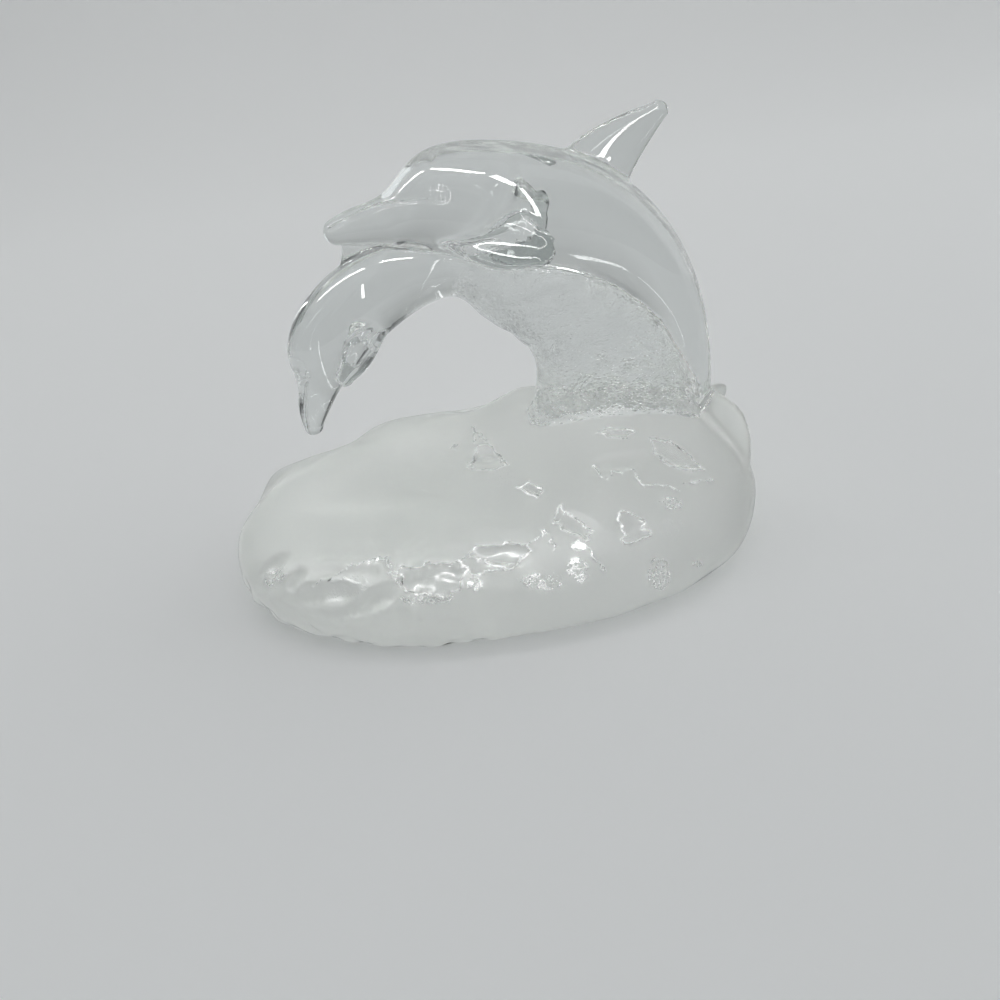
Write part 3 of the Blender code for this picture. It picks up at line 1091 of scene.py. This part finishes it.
def frost_group():
    """Roughness and grain of the frosted skin, from a mask."""
    sockets = (("Frost", 0), ("Polished roughness", POLISH_ROUGHNESS),
               ("Frosted roughness", FROST_ROUGHNESS), ("Grain scale", GRAIN_SCALE))
    group, given, result = new_group("frosted skin", sockets, ("Roughness", "Height"))
    frost = given.outputs["Frost"]
    ends = (given.outputs["Polished roughness"], given.outputs["Frosted roughness"])
    rough = blended(group, frost, *ends)
    place = group.nodes.new("ShaderNodeTexCoord").outputs["Object"]
    grain = group.nodes.new("ShaderNodeTexNoise")
    group.links.new(place, grain.inputs["Vector"])
    group.links.new(given.outputs["Grain scale"], grain.inputs["Scale"])
    group.links.new(rough, result.inputs["Roughness"])
    height = maths(group, "MULTIPLY", grain.outputs["Fac"], frost)
    group.links.new(height, result.inputs["Height"])
    return group


def bead_group():
    """Little domes along the rims and scattered in the rashes, with a mask of where they are."""
    group, given, result = new_group(
        "beads", (("Bead", 0), ("Rash", 0), ("Bead scale", BEAD_SCALE)), ("Mask", "Height")
    )
    place = group.nodes.new("ShaderNodeTexCoord").outputs["Object"]
    cells = group.nodes.new("ShaderNodeTexVoronoi")
    group.links.new(place, cells.inputs["Vector"])
    group.links.new(given.outputs["Bead scale"], cells.inputs["Scale"])
    dome = stepped(group, cells.outputs["Distance"], DOME_FOOT, DOME_TOP)
    breaks = stepped(group, noise(group, BREAK_SCALE, 1), BREAK_FROM, BREAK_TO)
    unbroken = blended(group, breaks, BREAK_LEFT, 1.0)
    along = maths(group, "MULTIPLY", given.outputs["Bead"], unbroken)
    scattered = stepped(group, noise(group, BREAK_SCALE, 2), SCATTER_FROM, SCATTER_TO)
    rash = maths(group, "MULTIPLY", given.outputs["Rash"], maths(group, "MAXIMUM", scattered, dome))
    mask = maths(group, "MAXIMUM", along, rash)
    group.links.new(mask, result.inputs["Mask"])
    group.links.new(maths(group, "MULTIPLY", dome, mask), result.inputs["Height"])
    return group


def ice_group():
    """Ripples and chips of the wave."""
    sockets = (("Ice", 0), ("Ripple scale", RIPPLE_SCALE), ("Chip scale", CHIP_SCALE))
    group, given, result = new_group("icy ripples", sockets, ("Ripple", "Chip"))
    place = group.nodes.new("ShaderNodeTexCoord").outputs["Object"]
    for title in ("Ripple", "Chip"):
        texture = group.nodes.new("ShaderNodeTexNoise")
        texture.inputs["Detail"].default_value = ICE_DETAIL
        group.links.new(place, texture.inputs["Vector"])
        group.links.new(given.outputs[title + " scale"], texture.inputs["Scale"])
        height = maths(group, "MULTIPLY", texture.outputs["Fac"], given.outputs["Ice"])
        group.links.new(height, result.inputs[title])
    return group


FROST = frost_group()
BEADS = bead_group()
ICE = ice_group()
print("groups", [group.name for group in bpy.data.node_groups])

# %% [markdown]
# The glass itself is one shader. Its index is that of soda lime glass, it is clear in its depth,
# and only its skin changes from place to place: polished, hazed, frosted or beaded.

# %% Mix the glass
CLEAR_COLOUR = (0.820, 0.842, 0.836)
FROSTED_COLOUR = (0.925, 0.938, 0.918)
GLASS_INDEX = 1.5
HAZE_SHARE = 0.55
WINDOW_CLEARNESS = 0.60
BEAD_CLEARNESS = 0.75
RIM_INDEX = 4.0
RIM_ROUGHNESS = 0.32
GRAIN_HEIGHT = 0.00004
BEAD_HEIGHT = 0.00045
RIPPLE_HEIGHT = 0.0006
CHIP_HEIGHT = 0.0005


def group_node(tree, group):
    node = tree.nodes.new("ShaderNodeGroup")
    node.node_tree = group
    return node


def painted(tree, name):
    node = tree.nodes.new("ShaderNodeAttribute")
    node.attribute_name = name
    return node.outputs["Fac"]


def bumped(tree, height, distance, normal=None):
    node = tree.nodes.new("ShaderNodeBump")
    node.inputs["Strength"].default_value = 1.0
    node.inputs["Distance"].default_value = distance
    tree.links.new(height, node.inputs["Height"])
    if normal is not None:
        tree.links.new(normal, node.inputs["Normal"])
    return node.outputs["Normal"]


def cast_glass():
    material = bpy.data.materials.new("cast glass")
    material.use_nodes = True
    tree = material.node_tree
    shader = tree.nodes["Principled BSDF"]
    shader.inputs["Transmission Weight"].default_value = 1.0
    tint = mixed_colour(tree, painted(tree, "frost"), CLEAR_COLOUR, FROSTED_COLOUR)
    tree.links.new(tint, shader.inputs["Base Color"])
    shader.inputs["IOR"].default_value = GLASS_INDEX
    shader.inputs["Coat IOR"].default_value = RIM_INDEX
    shader.inputs["Coat Roughness"].default_value = RIM_ROUGHNESS
    beads = group_node(tree, BEADS)
    tree.links.new(painted(tree, "bead"), beads.inputs["Bead"])
    tree.links.new(painted(tree, "rash"), beads.inputs["Rash"])
    tree.links.new(beads.outputs["Mask"], shader.inputs["Coat Weight"])
    cleared = maths(tree, "MULTIPLY", painted(tree, "window"), WINDOW_CLEARNESS)
    beaded = maths(tree, "MULTIPLY", beads.outputs["Mask"], BEAD_CLEARNESS)
    kept = maths(tree, "SUBTRACT", 1.0, maths(tree, "MAXIMUM", cleared, beaded))
    frost = maths(tree, "MULTIPLY", painted(tree, "frost"), kept)
    haze = maths(tree, "MULTIPLY", painted(tree, "haze"), HAZE_SHARE)
    frosted = group_node(tree, FROST)
    frosted.inputs["Polished roughness"].default_value = POLISH_ROUGHNESS
    frosted.inputs["Frosted roughness"].default_value = FROST_ROUGHNESS
    tree.links.new(maths(tree, "MAXIMUM", frost, haze), frosted.inputs["Frost"])
    tree.links.new(frosted.outputs["Roughness"], shader.inputs["Roughness"])
    iced = group_node(tree, ICE)
    tree.links.new(painted(tree, "ice"), iced.inputs["Ice"])
    normal = bumped(tree, iced.outputs["Ripple"], RIPPLE_HEIGHT)
    normal = bumped(tree, iced.outputs["Chip"], CHIP_HEIGHT, normal)
    normal = bumped(tree, beads.outputs["Height"], BEAD_HEIGHT, normal)
    normal = bumped(tree, frosted.outputs["Height"], GRAIN_HEIGHT, normal)
    tree.links.new(normal, shader.inputs["Normal"])
    return material


casting = bpy.data.objects.new("glass_dolphins_casting", coat)
bpy.context.scene.collection.objects.link(casting)
coat.materials.clear()
coat.materials.append(cast_glass())
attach(casting, "root")
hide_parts(CAST_NODE)
print("casting has", len(coat.polygons), "triangles")

# %% [markdown]
# Glass is seen by what it bends, so the room matters as much as the material. The figurine
# stands on a pale sweep in soft light. The sweep runs from under the figurine up behind it.

# %% Build the sweep
SWEEP_COLOUR = (0.90, 0.91, 0.905)
SWEEP_ROUGHNESS = 0.8
SWEEP_LEVEL = -0.0003
SWEEP_NEAR = -0.24
SWEEP_BEND = 0.55
SWEEP_RADIUS = 0.5
SWEEP_HALF_WIDTH = 0.85
SWEEP_TOP = 1.3
BEND_STEPS = 24


def build_sweep():
    profile = [(SWEEP_NEAR, 0.0), (SWEEP_BEND, 0.0)]
    for step in range(1, BEND_STEPS + 1):
        turn = math.pi / 2 * step / BEND_STEPS
        along = SWEEP_BEND + SWEEP_RADIUS * math.sin(turn)
        profile.append((along, SWEEP_RADIUS * (1 - math.cos(turn))))
    profile.append((SWEEP_BEND + SWEEP_RADIUS, SWEEP_TOP))
    vertices = [(side * SWEEP_HALF_WIDTH, y, z) for y, z in profile for side in SIDES]
    faces = [(2 * i, 2 * i + 1, 2 * i + 3, 2 * i + 2) for i in range(len(profile) - 1)]
    mesh = bpy.data.meshes.new("sweep")
    mesh.from_pydata(vertices, [], faces)
    mesh.polygons.foreach_set("use_smooth", [True] * len(faces))
    mesh.update()
    sweep = bpy.data.objects.new("sweep", mesh)
    sweep.location.z = SWEEP_LEVEL
    bpy.context.scene.collection.objects.link(sweep)
    return sweep


def plain_material(name, colour, roughness):
    material = bpy.data.materials.new(name)
    material.use_nodes = True
    shader = material.node_tree.nodes["Principled BSDF"]
    shader.inputs["Base Color"].default_value = (*colour, 1)
    shader.inputs["Roughness"].default_value = roughness
    return material


sweep = build_sweep()
sweep.data.materials.append(plain_material("pale sweep", SWEEP_COLOUR, SWEEP_ROUGHNESS))

# %% [markdown]
# Pale walls stand behind and beside the figurine. The side that it faces is dim, the left is dark
# and the ceiling is soft: glass shows its form by the dark that it bends in, and without a dim
# side its edges would vanish into the sweep. Low down the front is lighter, like a lit floor. The
# camera itself sees an even backdrop, so the dark is only ever seen in the glass.

# %% Light the room
WALL_COLOUR = (0.96, 0.99, 1.0)
WALL_GLOW = 1.03
FRONT_COLOUR = (0.125, 0.130, 0.133)
LEFT_COLOUR = (0.020, 0.022, 0.024)
CEILING_COLOUR = (0.62, 0.63, 0.64)
BACKDROP_COLOUR = (0.62, 0.63, 0.63)
FRONT_STARTS = 0.15
FRONT_ENDS = 0.50
LEFT_STARTS = 0.35
LEFT_ENDS = 0.65
LEFT_DIMMING = 0.92
GROUND_STARTS = 0.25
GROUND_ENDS = 0.60
GROUND_LIGHT = 0.45
CEILING_STARTS = 0.45
CEILING_ENDS = 0.80


def light_world():
    world = bpy.data.worlds.new("soft room")
    bpy.context.scene.world = world
    world.use_nodes = True
    tree = world.node_tree
    split = tree.nodes.new("ShaderNodeSeparateXYZ")
    tree.links.new(tree.nodes.new("ShaderNodeTexCoord").outputs["Generated"], split.inputs[0])
    to_front = stepped(tree, split.outputs["Y"], -FRONT_STARTS, -FRONT_ENDS)
    to_ground = stepped(tree, split.outputs["Z"], -GROUND_STARTS, -GROUND_ENDS)
    lit_ground = maths(tree, "MULTIPLY", to_ground, GROUND_LIGHT)
    to_front = maths(tree, "MULTIPLY", to_front, maths(tree, "SUBTRACT", 1.0, lit_ground))
    to_left = stepped(tree, split.outputs["X"], -LEFT_STARTS, -LEFT_ENDS)
    to_left = maths(tree, "MULTIPLY", to_left, LEFT_DIMMING)
    to_ceiling = stepped(tree, split.outputs["Z"], CEILING_STARTS, CEILING_ENDS)
    walls = mixed_colour(tree, to_front, WALL_COLOUR, FRONT_COLOUR)
    walls = mixed_colour(tree, to_left, walls, LEFT_COLOUR)
    room = mixed_colour(tree, to_ceiling, walls, CEILING_COLOUR)
    looked_at = tree.nodes.new("ShaderNodeLightPath").outputs["Is Camera Ray"]
    room = mixed_colour(tree, looked_at, room, BACKDROP_COLOUR)
    background = tree.nodes["Background"]
    background.inputs["Strength"].default_value = WALL_GLOW
    tree.links.new(room, background.inputs["Color"])


light_world()

# %% [markdown]
# A dull sweep needs its own light, because the dim side gives it little. A broad lamp over the
# sweep lights it alone: glass must not show the lamp, so it is hidden from shine and from what
# is seen through the glass.

# %% Light the sweep
SWEEP_LAMP_PLACE = (0, 0.35, 1.30)
SWEEP_LAMP_AIM = (0, 0.80, -0.60)
SWEEP_LAMP_SIZE = (1.6, 0.5)
SWEEP_LAMP_GLOW = 1.55


def add_area_lamp(name, length, width, glow):
    """Flat lamp of the given size and brightness, still lying at the origin."""
    light = bpy.data.lights.new(name, "AREA")
    light.shape = "RECTANGLE"
    light.size = length
    light.size_y = width
    light.energy = glow * math.pi * length * width
    lamp = bpy.data.objects.new(name, light)
    bpy.context.scene.collection.objects.link(lamp)
    return lamp


sweep_lamp = add_area_lamp("sweep_lamp", *SWEEP_LAMP_SIZE, SWEEP_LAMP_GLOW)
turn = Vector(SWEEP_LAMP_AIM).to_track_quat("-Z", "Y").to_matrix().to_4x4()
sweep_lamp.matrix_world = Matrix.Translation(SWEEP_LAMP_PLACE) @ turn
sweep_lamp.visible_glossy = False
sweep_lamp.visible_transmission = False
print("sweep lamp of", round(sweep_lamp.data.energy, 1), "W")

# %% [markdown]
# Thin strips over the figurine put the long bright lines on the backs of the dolphins. Two more
# stand behind the camera, for the crescent on the head and the streak on the upper back fin. A
# strip is given by its two ends, as points or as directions from the figurine, and it is hidden
# from the dull sweep, so that it adds a line of light to the glass and no hard shadow behind it.

# %% Hang the strips of light
STRIP_HEIGHT = 0.60
STRIP_WIDTH = 0.030
STRIP_GLOW = 40.0
STRIP_ENDS = (
    ((-0.86, 0.21), (-0.29, -0.04)),
    ((-0.20, -0.07), (0.10, -0.35)),
    ((0.13, -0.40), (0.22, -0.69)),
)
UPRIGHT_ENDS = (
    ((-79, -24), (-72, 30)),
    ((-106, 8), (-122, 34)),
)
UPRIGHT_WIDTH = 0.018
UPRIGHT_GLOW = 24.0
ARM_LENGTH = 1.0
LOOK_AT = Vector((0, 0, 0.12))


def add_strip(number, start, end, width, glow):
    """Long thin light between two points, facing the figurine."""
    lamp = add_area_lamp("strip_%d" % number, (end - start).length, width, glow)
    along = (end - start).normalized()
    middle = (start + end) / 2
    back = (middle - LOOK_AT).normalized()
    across = back.cross(along).normalized()
    turn = Matrix((along, across, along.cross(across))).transposed()
    lamp.matrix_world = Matrix.Translation(middle) @ turn.to_4x4()
    lamp.visible_diffuse = False


def seen_at(azimuth, elevation):
    """Point at arm's length from the figurine in a direction given in degrees."""
    turn = math.radians(azimuth)
    rise = math.radians(elevation)
    level = ARM_LENGTH * math.cos(rise)
    height = ARM_LENGTH * math.sin(rise)
    return LOOK_AT + Vector((level * math.cos(turn), level * math.sin(turn), height))


for number, ends in enumerate(STRIP_ENDS):
    add_strip(number, *(Vector((*end, STRIP_HEIGHT)) for end in ends), STRIP_WIDTH, STRIP_GLOW)
for number, ends in enumerate(UPRIGHT_ENDS):
    number += len(STRIP_ENDS)
    add_strip(number, *(seen_at(*end) for end in ends), UPRIGHT_WIDTH, UPRIGHT_GLOW)

# %% [markdown]
# A ray may cross the glass many times before it leaves, so the render needs many transmission
# bounces, or thick glass turns black.

# %% Set the light bounces and the tone
TRANSMISSION_BOUNCES = 14
DIFFUSE_BOUNCES = 4
GLOSSY_BLUR = 0.3


def set_tone():
    scene = bpy.context.scene
    scene.view_settings.view_transform = "Standard"
    scene.cycles.max_bounces = TRANSMISSION_BOUNCES
    scene.cycles.transmission_bounces = TRANSMISSION_BOUNCES
    scene.cycles.glossy_bounces = TRANSMISSION_BOUNCES
    scene.cycles.diffuse_bounces = DIFFUSE_BOUNCES
    scene.cycles.use_denoising = True
    scene.cycles.blur_glossy = GLOSSY_BLUR


set_tone()
